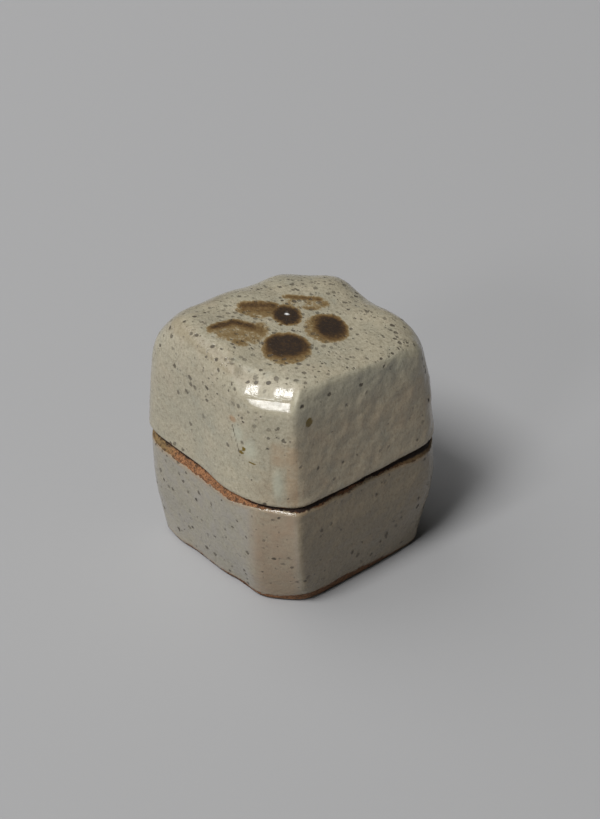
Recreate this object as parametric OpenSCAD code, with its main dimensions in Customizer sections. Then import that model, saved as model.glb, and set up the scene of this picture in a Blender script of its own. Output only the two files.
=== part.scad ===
// Kogo: a small hand-cut stoneware incense box in two pieces, a base with an
// upright inner rim and a lid that drops over that rim.
// Millimetres, +Z up. The origin is the middle of the foot, on the surface the box stands on.
// The sides face right (+X), back (+Y), left (-X) and front (-Y).
// Lists of four sides run right, back, left, front.
// Lists of four corners run back right, back left, front left, front right.

/* [Overall] */
// Width over the left and right sides, at the parting line
box_w = 47.5; // [44:0.1:56]
// Depth over the front and back sides, at the parting line
box_d = 47.5; // [44:0.1:56]
// Height of the crown over the foot
box_h = 53.4; // [50:0.1:58]
// Height of the parting line over the foot
seam_h = 26; // [22:0.1:30]
// How far each corner of the base is cut back at the parting line
base_cut = [4.3, 3.8, 4.1, 3.8]; // [1:0.1:6]
// How crisply the cut faces meet, as the power of a soft maximum
face_crisp = 20; // [8:1:24]

/* [Lid outside] */
// How far the lid's rim stands in from the base's shoulder, by side
lid_inset = [0.4, 0.2, 0.4, 0.2]; // [0:0.1:1.5]
// How far each corner of the lid is cut back at its rim
lid_cut = [3.7, 4, 2.7, 4.3]; // [1:0.1:6]
// How far each side leans in from the rim to the crown
lid_lean = [2.9, 1.6, 2.5, 0.3]; // [-2:0.1:5]
// How far each corner is cut back at the crown
crown_cut = [3.6, 7.7, 2.8, 2.4]; // [0:0.1:10]
// How crisply the crown meets each side, as the power of the profile curve
crown_crisp = [9, 6.8, 3.9, 5.4]; // [3:0.1:14]
// Slope of the crown towards the right and towards the back, in percent
crown_slope = [-6.5, -9.8]; // [-15:0.1:15]
// Height of the softened lower edge of the lid, by side
lid_edge = [0.8, 0.8, 0.7, 0.6]; // [0.3:0.1:2]

/* [Base outside] */
// How far the foot stands in from the shoulder, by side
foot_inset = [2.7, 5, 5.6, 3.1]; // [1:0.1:7]
// How far each corner is cut back at the foot
foot_cut = [0.2, 2, 0.1, 4.4]; // [0:0.1:6]
// How fast the wall swells above the foot, as a power
belly = 2.1; // [1.5:0.1:4]
// Radius of the softened edge of the foot
foot_edge = 0.8; // [0.3:0.1:1.5]
// Height of the cut edge of the shoulder, by side
shoulder_edge = [1.2, 1.4, 2, 2.2]; // [0.4:0.1:3]
// Slope of that cut edge: its width as a share of its height
shoulder_cut = 0.55; // [0.2:0.05:1]

/* [Walls] */
// Width of the ledge from the shoulder to the lid's inner wall
ledge_w = 4.6; // [3.5:0.1:6]
// Thickness of the floor of the base
floor_t = 5; // [3:0.1:8]
// Thickness of the roof of the lid at its middle
roof_t = 6.5; // [4:0.1:9]

/* [Inner rim] */
// Height of the inner rim over the parting line
rim_h = 4.5; // [3:0.1:7]
// Thickness of the inner rim
rim_t = 2.6; // [1.8:0.1:4]
// Gap between the inner rim and the lid, on each side
rim_gap = 0.4; // [0.3:0.05:0.8]
// Radius of the rounded top of the inner rim
rim_round = 0.9; // [0.3:0.1:1.2]
// Height over the inner rim where the lid's hollow starts to close in
lid_headroom = 1.5; // [0.5:0.1:3]
// Height of the rounded bottom of the base's hollow
well_round = 9; // [5:0.5:14]

/* [Hidden] */

// Points round each ring of the surface
ring_points = 96;
// Powers of the curves that close the two hollows
hollow_crisp = 3;
// Radius of the round flat in the middle of the foot, the crown and each hollow
middle_r = 4;

glaze_colour = [0.66, 0.63, 0.54];

side_distances = [box_w / 2, box_d / 2, box_w / 2, box_d / 2];

// Distances of the eight cut faces from the axis: side, corner, side, corner and so on.
// Each corner lies its cut short of where its two sides would meet.
function cut_faces(sides, cuts) = [
    for (k = [0:3]) each [sides[k], (sides[k] + sides[(k + 1) % 4]) / sqrt(2) - cuts[k]]
];

// All eight faces moved inwards by a distance
function moved_in(faces, distance) = [for (f = faces) f - distance];

// Faces part of the way from one set to another
function between(from, to, share) = from + (to - from) * share;

function total(list) = list * [for (x = list) 1];

// Distance from the axis to the soft-edged outline of eight cut faces, at an angle
function outline(faces, angle) =
    pow(total([for (k = [0:7]) pow(max(0, cos(angle - 45 * k)) / faces[k], face_crisp)]), -1 / face_crisp);

// A value that each side has its own of, at an angle: it blends from side to side
function by_side(values, angle) =
    total([for (k = [0:3]) values[k] * pow(max(0, cos(angle - 90 * k)), 2)]);

// Ring of points of an outline, at a height and drawn in towards the axis.
// The height and the draw may each be one value or one for each side.
function at(values, angle) = is_list(values) ? by_side(values, angle) : values;
function ring(faces, height, draw = 0) = [
    for (i = [0:ring_points - 1])
        let (angle = 360 * i / ring_points, r = outline(faces, angle) - at(draw, angle))
        [r * cos(angle), r * sin(angle), at(height, angle)]
];

// Ring of points round the middle, at a height
function middle(height) = [
    for (i = [0:ring_points - 1])
        let (angle = 360 * i / ring_points)
        [middle_r * cos(angle), middle_r * sin(angle), height]
];

// Closed solid through rings, from a flat face at the first to a flat face at the last
module loft(rings) {
    n = ring_points;
    last = len(rings) - 1;
    walls = [
        for (j = [0:last - 1], i = [0:n - 1])
            let (a = j * n + i, b = j * n + (i + 1) % n)
            each [[a, a + n, b + n], [a, b + n, b]]
    ];
    first_face = [for (i = [0:n - 1]) i];
    last_face = [for (i = [n - 1:-1:0]) last * n + i];
    polyhedron([for (r = rings) each r], concat([first_face], walls, [last_face]), convexity = 6);
}

// The shapes that both pieces share, at the parting line
shoulder_faces = cut_faces(side_distances, base_cut);
recess_faces = moved_in(shoulder_faces, ledge_w);
rim_faces = moved_in(recess_faces, rim_gap);
well_faces = moved_in(rim_faces, rim_t);

// Base

foot_faces = cut_faces(side_distances - foot_inset, foot_cut);
rim_top = seam_h + rim_h;
rim_turn = min(rim_round, rim_t / 2);
edge_cut = shoulder_edge * shoulder_cut;
edge_foot = [for (e = shoulder_edge) seam_h - e];

// Outside of the base at a share of the way up to the parting line
function belly_faces(share) = between(shoulder_faces, foot_faces, pow(1 - share, belly));

// Height of the base's wall at a share of the way from the foot's edge to the cut shoulder
function belly_heights(share) = [for (e = edge_foot) foot_edge + (e - foot_edge) * share];

function base_outside() = [
    middle(0),
    ring(foot_faces, 0, foot_edge),
    ring(foot_faces, foot_edge * (1 - sqrt(0.5)), foot_edge * (1 - sqrt(0.5))),
    for (s = [0:0.125:1]) ring(belly_faces(s), belly_heights(s)),
    ring(shoulder_faces, edge_foot + shoulder_edge * 0.6, edge_cut * 0.3),
    ring(shoulder_faces, seam_h, edge_cut)
];

function base_rim() = [
    ring(rim_faces, seam_h),
    ring(rim_faces, rim_top - rim_turn),
    ring(rim_faces, rim_top - rim_turn * (1 - sqrt(0.5)), rim_turn * (1 - sqrt(0.5))),
    ring(rim_faces, rim_top, rim_turn),
    ring(well_faces, rim_top, -rim_turn),
    ring(well_faces, rim_top - rim_turn * (1 - sqrt(0.5)), -rim_turn * (1 - sqrt(0.5))),
    ring(well_faces, rim_top - rim_turn)
];

// Curve that closes a hollow: share of its width left at a share of its depth
function closing(depth) = pow(1 - pow(depth, hollow_crisp), 1 / hollow_crisp);
closing_steps = [0, 0.35, 0.6, 0.78, 0.9, 0.97];

function base_well() = [
    for (s = closing_steps) ring(well_faces * closing(s), floor_t + well_round * (1 - s)),
    middle(floor_t)
];

module base() {
    color(glaze_colour) loft(concat(base_outside(), base_rim(), base_well()));
}

// Lid

lid_sides = side_distances - lid_inset;
lid_faces = cut_faces(lid_sides, lid_cut);
crown_faces = cut_faces(lid_sides - lid_lean, crown_cut);
hollow_start = rim_top + lid_headroom;
roof_h = box_h - roof_t;

// Steps round the lid's profile: 0 at the foot of its wall, 1 at its upper edge, 2 at the middle
profile_steps = [0, 0.2, 0.4, 0.58, 0.73, 0.85, 0.94, 1, 1.05, 1.12, 1.22, 1.36, 1.55];

// Drop of the sloping crown at a point
function crown_drop(x, y) = (crown_slope[0] * x + crown_slope[1] * y) / 100;

// A point of the lid's wall and crown, at an angle and a step round its profile.
// The profile is a superellipse whose power differs from side to side.
function lid_point(angle, step) =
    let (
        power = by_side(crown_crisp, angle),
        edge = pow(0.5, 1 / power),
        rise = step < 1 ? edge * step : pow(1 - pow(edge * (2 - step), power), 1 / power),
        reach = pow(1 - pow(rise, power), 1 / power),
        r = outline(between(lid_faces, crown_faces, rise), angle) * reach,
        x = r * cos(angle),
        y = r * sin(angle),
        low = seam_h + by_side(lid_edge, angle)
    )
    [x, y, low + (box_h + crown_drop(x, y) - low) * rise];

function lid_inside() = [
    middle(roof_h),
    for (i = [len(closing_steps) - 1:-1:0])
        ring(recess_faces * closing(closing_steps[i]), between(hollow_start, roof_h, closing_steps[i])),
    ring(recess_faces, seam_h)
];

function lid_outside() = [
    ring(lid_faces, seam_h, lid_edge),
    ring(lid_faces, [for (e = lid_edge) seam_h + e * (1 - sqrt(0.5))], lid_edge * (1 - sqrt(0.5))),
    for (s = profile_steps) [for (i = [0:ring_points - 1]) lid_point(360 * i / ring_points, s)],
    [for (p = middle(box_h)) [p.x, p.y, p.z + crown_drop(p.x, p.y)]]
];

module lid() {
    color(glaze_colour) loft(concat(lid_inside(), lid_outside()));
}

base();
lid();
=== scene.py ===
import math

import bpy
import numpy as np
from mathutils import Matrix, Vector

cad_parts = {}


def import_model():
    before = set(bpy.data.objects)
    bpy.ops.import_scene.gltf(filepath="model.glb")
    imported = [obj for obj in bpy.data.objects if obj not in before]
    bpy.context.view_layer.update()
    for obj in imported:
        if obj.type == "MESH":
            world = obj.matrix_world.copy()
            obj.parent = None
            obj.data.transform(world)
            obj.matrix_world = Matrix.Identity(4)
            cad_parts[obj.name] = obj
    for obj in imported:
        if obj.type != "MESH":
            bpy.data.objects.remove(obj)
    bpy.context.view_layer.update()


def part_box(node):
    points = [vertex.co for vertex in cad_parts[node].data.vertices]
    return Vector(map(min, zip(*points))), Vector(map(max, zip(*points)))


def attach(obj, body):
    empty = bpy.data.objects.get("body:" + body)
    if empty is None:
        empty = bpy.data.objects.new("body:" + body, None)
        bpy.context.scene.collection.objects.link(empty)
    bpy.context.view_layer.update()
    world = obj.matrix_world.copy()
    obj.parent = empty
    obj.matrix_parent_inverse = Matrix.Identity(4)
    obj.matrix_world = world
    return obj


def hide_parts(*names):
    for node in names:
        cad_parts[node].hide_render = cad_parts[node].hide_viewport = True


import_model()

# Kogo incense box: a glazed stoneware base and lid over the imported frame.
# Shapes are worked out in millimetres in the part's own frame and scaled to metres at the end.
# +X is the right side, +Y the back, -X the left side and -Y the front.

MM = 0.001
MM_IN_METRE = 1000.0


def in_mm(metres):
    """A length of the frame in mm, to a thousandth."""
    return round(metres * MM_IN_METRE, 3)


# Sizes of the two pieces in mm: the first four from the frame, the rest as in the part's source

base_low, base_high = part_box("base")
lid_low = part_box("lid")[0]
BOX_W = in_mm(base_high[0] - base_low[0])
BOX_D = in_mm(base_high[1] - base_low[1])
SEAM_H = in_mm(lid_low[2])
RIM_TOP = in_mm(base_high[2])
BOX_H = 53.4
BASE_CUT = (4.3, 3.8, 4.1, 3.8)
LID_INSET = (0.4, 0.2, 0.4, 0.2)
LID_CUT = (3.7, 4.0, 2.7, 4.3)
LID_LEAN = (2.3, 1.6, 2.5, 0.3)
CROWN_CUT = (3.6, 7.7, 2.8, 2.4)
CROWN_SLOPE = (-0.085, -0.098)
FOOT_INSET = (2.3, 5.0, 5.4, 2.2)
FOOT_CUT = (0.9, 2.0, -0.9, 4.4)
BELLY = 2.1
FOOT_EDGE = 1.3
LEDGE_W = 4.6
FLOOR_T, ROOF_T = 5.0, 6.5
RIM_T, RIM_GAP, RIM_ROUND = 2.6, 0.4, 0.9
LID_HEADROOM = 1.5
WELL_ROUND = 9.0
HOLLOW_CRISP = 3.0

# The front right cut faces more to the front: its direction in degrees and its distance from the axis in mm

SHOULDER_FRONT_TURN, SHOULDER_FRONT_CUT = -58, 28.2
FOOT_FRONT_TURN, FOOT_FRONT_CUT = -48, 25.2
RIM_FRONT_TURN, RIM_FRONT_CUT = -52, 28.3
CROWN_FRONT_TURN, CROWN_FRONT_CUT = -58, 26.4

# Uneven bands, given as (angle in degrees, value) round the box, 0 at +X and 90 at +Y: crispness of the
# upright edges and of the crown's edge, then sizes in mm

SOFT_CRISP = ((-135, 20), (-60, 22), (-38, 24), (0, 22), (45, 20), (180, 20))
BASE_CRISP = (
    (-135, 20), (-80, 24), (-58, 40), (-44, 130), (-32, 130), (-20, 50), (0, 24), (45, 20), (180, 20),
)
LID_CRISP = ((-135, 20), (-80, 22), (-56, 40), (-40, 90), (-22, 50), (0, 22), (45, 20), (180, 20))
CROWN_CRISP = (
    (-180, 4.2), (-150, 4.8), (-132, 6.0), (-116, 9.5), (-98, 13.0), (-46, 12.0), (-36, 18.0),
    (-24, 30.0), (0, 34.0), (18, 30.0), (34, 14.0), (48, 8.0), (90, 6.8), (135, 5.2),
)
LID_EDGE = (
    (-135, 0.7), (-110, 0.6), (-90, 0.8), (-62, 0.7), (-45, 0.8), (-36, 1.1), (-29, 1.5), (-20, 1.2),
    (-10, 1.0), (0, 1.4), (10, 1.1), (22, 1.5), (34, 1.1), (45, 1.2), (90, 0.8), (180, 0.7),
)
SHOULDER_SINK = (
    (-135, 0.0), (-60, 0.0), (-40, 0.5), (-10, 0.9), (20, 0.7), (40, 0.3), (60, 0.0), (180, 0.0),
)
SHOULDER_RISE = (
    (-135, 1.9), (-90, 2.3), (-66, 2.0), (-54, 1.3), (-45, 1.2), (-35, 1.4), (-20, 1.7), (0, 1.6),
    (25, 1.7), (45, 1.9), (90, 1.5), (180, 1.9),
)
SHOULDER_DRAW = (
    (-135, 1.1), (-90, 1.3), (-66, 1.3), (-54, 1.2), (-45, 1.2), (-20, 1.4), (0, 1.4), (25, 1.4),
    (45, 1.3), (90, 1.2), (180, 1.1),
)

# How far down from the parting line and up from the foot the wall is bare clay, and how far down it is
# painted near-black as the shade in the gap under the lid's edge

CLAY_BAND = (
    (-135, 2.2), (-90, 2.6), (-66, 2.1), (-56, 0.9), (-48, 0.5), (-38, 0.6), (-28, 1.3), (-14, 1.2),
    (5, 1.0), (18, 1.2), (30, 1.9), (45, 2.5), (90, 1.6), (180, 2.1),
)
FOOT_BAND = (
    (-135, 0.8), (-90, 1.0), (-62, 1.1), (-48, 1.4), (-36, 2.2), (-15, 2.6), (5, 2.0), (25, 1.2),
    (45, 0.7), (90, 0.8), (180, 0.7),
)
GAP_SHADE_BAND = (
    (-135, 0.8), (-112, 0.65), (-80, 0.6), (-62, 0.6), (-48, 0.65), (-36, 0.7), (-24, 0.9), (-10, 0.8),
    (5, 1.0), (20, 0.9), (32, 1.1), (44, 1.3), (60, 1.0), (90, 0.6), (180, 0.6),
)

# Points in a ring, and how many of them to either side join a band's values: many, fewer and few

RING = 416
ANGLES = np.linspace(0.0, 2.0 * math.pi, RING, endpoint=False)
LONG_JOIN, MIDDLE_JOIN, SHORT_JOIN = 16, 8, 6

# Random unevenness is gradient noise from a hash of each cell's corner

HASH_X, HASH_Y, HASH_Z, HASH_SEED = 374761393, 668265263, 1274126177, 97
HASH_STIR, HASH_SHIFT, HASH_LIMIT = 1103515245, 13, 0x7FFFFFFF
SEED_OFFSET = 31.7
NOISE_GAIN = 1.4


def smooth(low, high, x):
    """0 below low, 1 above high and a smooth step between; falling where low is above high."""
    t = np.clip((x - low) / (high - low), 0.0, 1.0)
    return t * t * (3.0 - 2.0 * t)


def hump(x, middle, width):
    """1 at the middle, falling off on either side like a bell."""
    return np.exp(-((x - middle) / width) ** 2)


def noise(points, size, seed):
    """Gradient noise of about -1 to 1, with features of a size in mm."""
    q = points / size + SEED_OFFSET * seed
    cell = np.floor(q).astype(np.int64)
    f = q - cell
    w = f * f * f * (f * (f * 6.0 - 15.0) + 10.0)
    total = np.zeros(len(points))
    for corner in np.ndindex(2, 2, 2):
        c = cell + np.array(corner)
        h = (c[:, 0] * HASH_X + c[:, 1] * HASH_Y + c[:, 2] * HASH_Z + seed * HASH_SEED) & HASH_LIMIT
        h = ((h ^ (h >> HASH_SHIFT)) * HASH_STIR) & HASH_LIMIT
        gradient = np.stack(((h & 1023), ((h >> 10) & 1023), ((h >> 20) & 1023)), 1) / 511.5 - 1.0
        weight = np.prod(np.where(np.array(corner) == 1, w, 1.0 - w), axis=1)
        total += weight * np.sum(gradient * (f - np.array(corner)), axis=1)
    return NOISE_GAIN * total


def waves(points, table):
    """Several noises added up, each given as (amount, size in mm, seed)."""
    return sum(amount * noise(points, size, seed) for amount, size, seed in table)


def round_the_box(band, join=LONG_JOIN):
    """A band's values at every angle of a ring, joined smoothly over some steps to either side."""
    degrees = np.array([d for d, _ in band] + [band[0][0] + 360.0])
    values = np.array([v for _, v in band] + [band[0][1]])
    at = (np.degrees(ANGLES) - degrees[0]) % 360.0 + degrees[0]
    rough = np.interp(at, degrees, values)
    window = np.hanning(2 * join + 1)
    window /= window.sum()
    return np.convolve(np.concatenate((rough[-join:], rough, rough[:join])), window, mode="valid")


def cut_faces(sides, cuts):
    """Distances of the eight cut faces from the axis: side, corner, side, corner and so on."""
    faces = []
    for k in range(4):
        faces += [sides[k], (sides[k] + sides[(k + 1) % 4]) / math.sqrt(2.0) - cuts[k]]
    return np.array(faces)


def outline(faces, turns, crisp):
    """Distance from the axis to the soft-edged outline of eight cut faces, at every angle."""
    faces = np.asarray(faces, float)
    faces = faces[:, None] if faces.ndim == 1 else faces
    nearest = np.min(faces, axis=0)
    total = sum(
        (np.maximum(0.0, np.cos(ANGLES - np.radians(turn))) * nearest / face) ** crisp
        for face, turn in zip(faces, turns)
    )
    return nearest * total ** (-1.0 / crisp)


def turned(front_turn):
    """Directions of the eight faces, with the front right cut turned."""
    return (0, 45, 90, 135, 180, 225, 270, front_turn)


def ring(radius, height):
    """Points at a distance from the axis and a height, each one value or one for each angle."""
    radius = np.broadcast_to(radius, ANGLES.shape)
    height = np.broadcast_to(height, ANGLES.shape)
    return np.stack((radius * np.cos(ANGLES), radius * np.sin(ANGLES), height), 1)


# Outlines that the solids share: the lid's recess, the base's rim outside and the well inside it

HALF = np.array((BOX_W, BOX_D, BOX_W, BOX_D)) / 2.0
CAD_TURNS, CAD_CRISP = range(0, 360, 45), 20.0
CAD_SHOULDER = cut_faces(HALF, BASE_CUT)
RECESS = outline(CAD_SHOULDER - LEDGE_W, CAD_TURNS, CAD_CRISP)
RIM = outline(CAD_SHOULDER - LEDGE_W - RIM_GAP, CAD_TURNS, CAD_CRISP)
WELL = outline(CAD_SHOULDER - LEDGE_W - RIM_GAP - RIM_T, CAD_TURNS, CAD_CRISP)
LID_EDGES = round_the_box(LID_EDGE, SHORT_JOIN)
SHOULDER_RISES, SHOULDER_DRAWS = round_the_box(SHOULDER_RISE), round_the_box(SHOULDER_DRAW)

# How many rings each stretch of a piece has

FOOT_RINGS, FOOT_EDGE_RINGS, BELLY_RINGS, SHOULDER_RINGS = 14, 6, 78, 13
LEDGE_RINGS, RIM_RINGS, RIM_ROUND_RINGS = 9, 9, 7
WELL_RINGS, WELL_ROUND_RINGS, MIDDLE_RINGS = 36, 26, 8
ROOF_ROUND_RINGS, RECESS_RINGS, SEAT_RINGS, LID_EDGE_RINGS = 22, 11, 9, 8

# Shares of the width at which the rings on the foot start and those in a hollow's middle lie, how the rings
# of a hollow's rounding spread, and the share of a recess that is glazed

FOOT_START = 0.06
MIDDLE_OUT, MIDDLE_IN = 0.18, 0.02
HOLLOW_SPREAD, HOLLOW_END = 0.9, 0.995
RECESS_GLAZED = 0.2

# Rings up the lid's side and over its crown: 0 is at its rim, 1 on the upper edge and 2 in the middle of the
# top, with closer rings near the edge

CROWN_STEPS = np.concatenate((
    np.linspace(0.0, 0.86, 72), np.linspace(0.86, 1.0, 22)[1:], np.linspace(1.0, 1.14, 22)[1:],
    np.linspace(1.14, 1.985, 68)[1:],
))

# Shares of the height over which the upright edges of base and lid grow crisp, the base's shoulder sinks in
# and the lid's front cut turns, and how the shoulder curves

BASE_CRISP_LOW, BASE_CRISP_HIGH, LID_CRISP_LOW = (0.02, 0.3), (1.1, 0.8), (0.02, 0.4)
SINK_OVER, TURN_OVER = (0.7, 1.0), (0.0, 0.5)
SHOULDER_CURVE = 1.5


def rounding(turn):
    """Share of a hollow's depth at a turn from 0 to a right angle, and the share of its width left there."""
    depth = math.sin(turn) ** HOLLOW_SPREAD * HOLLOW_END
    return depth, (1.0 - depth ** HOLLOW_CRISP) ** (1.0 / HOLLOW_CRISP)


def base_rings():
    """Rings of the base from the middle of its foot, up its outside, over the rim and down to its floor.

    Each ring has a zone: foot, wall, ledge or well.
    """
    shoulder_faces = CAD_SHOULDER.copy()
    foot_faces = cut_faces(HALF - np.array(FOOT_INSET), FOOT_CUT)
    shoulder_faces[-1], foot_faces[-1] = SHOULDER_FRONT_CUT, FOOT_FRONT_CUT
    soft, crisp = round_the_box(SOFT_CRISP), round_the_box(BASE_CRISP, MIDDLE_JOIN)
    sink = round_the_box(SHOULDER_SINK)

    def belly(share):
        """Outline at a share of the height from foot to shoulder."""
        low = (1.0 - share) ** BELLY
        faces = shoulder_faces + (foot_faces - shoulder_faces) * low
        turn = SHOULDER_FRONT_TURN + (FOOT_FRONT_TURN - SHOULDER_FRONT_TURN) * low
        firm = smooth(*BASE_CRISP_LOW, share) * smooth(*BASE_CRISP_HIGH, share)
        return outline(faces, turned(turn), soft + (crisp - soft) * firm) - sink * smooth(*SINK_OVER, share)

    foot, shoulder = belly(0.0), belly(1.0)
    edge = shoulder - SHOULDER_DRAWS
    rings, zones = [], []

    def add(zone, radius, height):
        rings.append(ring(radius, height))
        zones.append(zone)

    for share in np.linspace(FOOT_START, 1.0, FOOT_RINGS):
        add("foot", (foot - FOOT_EDGE) * share, 0.0)
    for turn in np.linspace(0.0, math.pi / 2, FOOT_EDGE_RINGS)[1:-1]:
        add("wall", foot - FOOT_EDGE * (1 - math.sin(turn)), FOOT_EDGE * (1 - math.cos(turn)))
    low, high = FOOT_EDGE, SEAM_H - SHOULDER_RISES
    for share in np.linspace(0.0, 1.0, BELLY_RINGS):
        add("wall", belly(share), low + (high - low) * share)
    for share in np.linspace(0.0, 1.0, SHOULDER_RINGS)[1:]:
        add("wall", shoulder - SHOULDER_DRAWS * share ** SHOULDER_CURVE, high + SHOULDER_RISES * share)
    for share in np.linspace(0.0, 1.0, LEDGE_RINGS)[1:]:
        add("ledge", edge + (RIM - edge) * share, SEAM_H)
    for share in np.linspace(0.0, 1.0, RIM_RINGS)[1:]:
        add("ledge", RIM, SEAM_H + (RIM_TOP - SEAM_H - RIM_ROUND) * share)
    for turn in np.linspace(0.0, math.pi / 2, RIM_ROUND_RINGS)[1:]:
        add("ledge", RIM - RIM_ROUND * (1 - math.cos(turn)), RIM_TOP - RIM_ROUND * (1 - math.sin(turn)))
    for turn in np.linspace(math.pi / 2, 0.0, RIM_ROUND_RINGS):
        add("ledge", WELL + RIM_ROUND * (1 - math.cos(turn)), RIM_TOP - RIM_ROUND * (1 - math.sin(turn)))
    for share in np.linspace(0.0, 1.0, WELL_RINGS)[1:]:
        add("well", WELL, RIM_TOP - RIM_ROUND + (FLOOR_T + WELL_ROUND - RIM_TOP + RIM_ROUND) * share)
    for turn in np.linspace(0.0, math.pi / 2, WELL_ROUND_RINGS)[1:]:
        depth, width = rounding(turn)
        add("well", WELL * width, FLOOR_T + WELL_ROUND * (1.0 - depth))
    for share in np.linspace(MIDDLE_OUT, MIDDLE_IN, MIDDLE_RINGS):
        add("well", WELL * share, FLOOR_T)
    return np.array(rings), zones


def lid_rings():
    """Rings of the lid from the middle of its roof's underside, down its hollow and up its outside.

    Each ring has a zone: hollow, seat or wall.
    """
    sides = HALF - np.array(LID_INSET)
    lid_faces = cut_faces(sides, LID_CUT)
    crown_faces = cut_faces(sides - np.array(LID_LEAN), CROWN_CUT)
    lid_faces[-1], crown_faces[-1] = RIM_FRONT_CUT, CROWN_FRONT_CUT
    soft, crisp = round_the_box(SOFT_CRISP), round_the_box(LID_CRISP)
    roof, start = BOX_H - ROOF_T, RIM_TOP + LID_HEADROOM
    edge = outline(lid_faces, turned(RIM_FRONT_TURN), soft) - LID_EDGES
    rings, zones = [], []

    def add(zone, points):
        rings.append(points)
        zones.append(zone)

    for share in np.linspace(MIDDLE_IN, MIDDLE_OUT, MIDDLE_RINGS):
        add("hollow", ring(RECESS * share, roof))
    for turn in np.linspace(math.pi / 2, 0.0, ROOF_ROUND_RINGS)[:-1]:
        depth, width = rounding(turn)
        add("hollow", ring(RECESS * width, start + (roof - start) * depth))
    for share in np.linspace(0.0, 1.0, RECESS_RINGS):
        add("hollow" if share < RECESS_GLAZED else "seat", ring(RECESS, start + (SEAM_H - start) * share))
    for share in np.linspace(0.0, 1.0, SEAT_RINGS)[1:]:
        add("seat", ring(RECESS + (edge - RECESS) * share, SEAM_H))
    for turn in np.linspace(0.0, math.pi / 2, LID_EDGE_RINGS)[1:-1]:
        add("wall", ring(edge + LID_EDGES * math.sin(turn), SEAM_H + LID_EDGES * (1 - math.cos(turn))))

    power = round_the_box(CROWN_CRISP, SHORT_JOIN)
    corner = 0.5 ** (1.0 / power)
    low = SEAM_H + LID_EDGES
    for step in CROWN_STEPS:
        if step < 1.0:
            rise = corner * step
            reach = (1.0 - rise ** power) ** (1.0 / power)
        else:
            reach = corner * (2.0 - step)
            rise = (1.0 - reach ** power) ** (1.0 / power)
        faces = lid_faces[:, None] + (crown_faces - lid_faces)[:, None] * rise[None, :]
        turn = RIM_FRONT_TURN + (CROWN_FRONT_TURN - RIM_FRONT_TURN) * smooth(*TURN_OVER, rise)
        firm = smooth(*LID_CRISP_LOW, rise)
        points = ring(outline(faces, turned(turn), soft + (crisp - soft) * firm) * reach, 0.0)
        top = BOX_H + points[:, 0] * CROWN_SLOPE[0] + points[:, 1] * CROWN_SLOPE[1]
        points[:, 2] = low + (top - low) * rise
        add("wall", points)
    return np.array(rings), zones


def normals_of(rings):
    """Outward normals of a grid of rings."""
    along = np.roll(rings, -1, axis=1) - np.roll(rings, 1, axis=1)
    up = np.gradient(rings, axis=0)
    n = np.cross(along, up)
    length = np.linalg.norm(n, axis=2, keepdims=True)
    return n / np.maximum(length, 1e-9)


# The blossom on the lid: the picture's two directions on the top, then each petal's centre and its half width
# across the picture and towards the camera side, in mm

ACROSS = np.array((0.645, 0.764))
TOWARDS = np.array((0.764, -0.645))
FRONT_PETAL = ((8.3, -8.8), 4.8, 5.4)
RIGHT_PETAL = ((6.9, 2.6), 4.5, 5.2)
BACK_RIGHT_PETAL = ((-2.6, 4.6), 4.6, 2.6)
BACK_LEFT_PETAL = ((-5.6, -4.9), 4.3, 3.3)
LEFT_PETAL = ((-1.0, -13.3), 6.1, 4.3)
HEART = ((-0.8, -1.1), 3.1, 3.8)

# Sizes in mm of the waves in a petal's edge and how strong the small ones are

PETAL_WAVE, PETAL_RIPPLE, RIPPLE_SHARE = 2.4, 1.0, 0.7

# Brush strokes over the left and the back left petal, as shares of the petal's half widths: their places and
# the widths of their upper and lower sides

STROKE_ACROSS = (-1.0, -0.55, -0.2, 0.13, 0.52)
STROKE_TOWARDS = (0.0, -0.52, -0.85, -0.68, -0.48)
STROKE_UPPER, STROKE_LOWER = 0.26, 0.42
BACK_STROKE, BACK_STROKE_UPPER, BACK_STROKE_LOWER = -0.55, 0.3, 0.55


def petal(points, shape, wobble, seed):
    """Where points lie in a petal: across, towards the camera side, and inside its uneven edge.

    The first two run from -1 to 1 over the petal; the third is 1 at its middle and 0 on its edge.
    """
    centre, half_across, half_towards = shape
    offset = points[:, :2] - np.array(centre)
    across, towards = offset @ ACROSS / half_across, offset @ TOWARDS / half_towards
    table = ((wobble, PETAL_WAVE, seed), (RIPPLE_SHARE * wobble, PETAL_RIPPLE, seed + 7))
    return across, towards, 1.0 - np.hypot(across, towards) + waves(points, table)


def front_petal(points):
    """A dark core that lies to the back, and a brown rim that is thinner in front."""
    across, towards, inside = petal(points, FRONT_PETAL, 0.07, 61)
    shift = 0.3 * smooth(-0.1, -0.8, towards) - 0.6 * smooth(-0.3, 0.9, towards)
    shift -= 0.04 * smooth(0.0, -0.9, across)
    core = smooth(-0.34, 0.58, inside + 0.07 + shift)
    rim = 0.37 - 0.09 * smooth(0.1, 0.8, towards)
    return smooth(-0.16, 0.2, inside) * (rim + (0.97 - rim) * core)


def right_petal(points):
    """A dark core that lies to the right, and a brown rim that is thinner on the left."""
    across, towards, inside = petal(points, RIGHT_PETAL, 0.07, 62)
    shift = 0.22 * smooth(-0.1, -0.8, towards) - 0.36 * smooth(-0.2, 0.9, towards)
    shift -= 0.74 * smooth(0.4, -0.9, across)
    core = smooth(-0.36, 0.68, inside + 0.14 + shift)
    rim = 0.34 - 0.11 * smooth(-0.1, -0.7, across)
    return smooth(-0.16, 0.2, inside) * (rim + (1.0 - rim) * core)


def heart(points):
    """The dark middle of the blossom, with a few dots along its front."""
    _, towards, inside = petal(points, HEART, 0.1, 63)
    dots = smooth(0.15, 0.5, noise(points, 0.9, 70)) * hump(inside, 0.02, 0.2) * smooth(-0.2, 0.4, towards)
    return smooth(-0.14, 0.18, inside) * (0.5 + 0.44 * smooth(0.0, 0.4, inside)) + 0.6 * dots


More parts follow.
